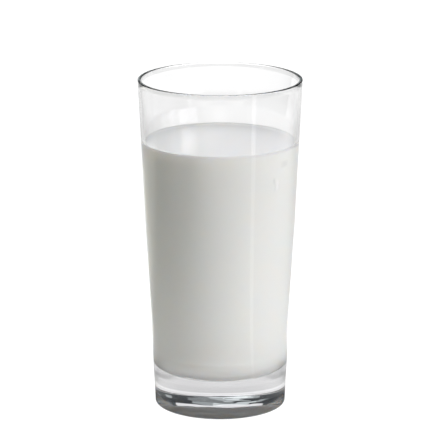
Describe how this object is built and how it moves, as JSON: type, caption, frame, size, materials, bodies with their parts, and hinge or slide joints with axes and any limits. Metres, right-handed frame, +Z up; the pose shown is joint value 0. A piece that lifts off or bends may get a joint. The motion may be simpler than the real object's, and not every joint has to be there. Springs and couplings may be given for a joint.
{
  "type": "glass of milk",
  "caption": "Tall tapered clear glass tumbler with a heavy base, filled with milk to about four fifths of its height.",
  "frame": {"origin": "centre of the foot, in the plane that the glass stands on", "axes": "+Z up along the tumbler's axis; the shape is turned about Z, so X and Y are alike"},
  "size_m": [0.0734, 0.0734, 0.15],
  "materials": {
    "clear_glass": "clear polished soda-lime glass, colourless with a faint blue-green cast in the thick base",
    "milk": null
  },
  "bodies": {
    "root": {"tumbler": "clear_glass", "milk": "milk"}
  },
  "joints": []
}
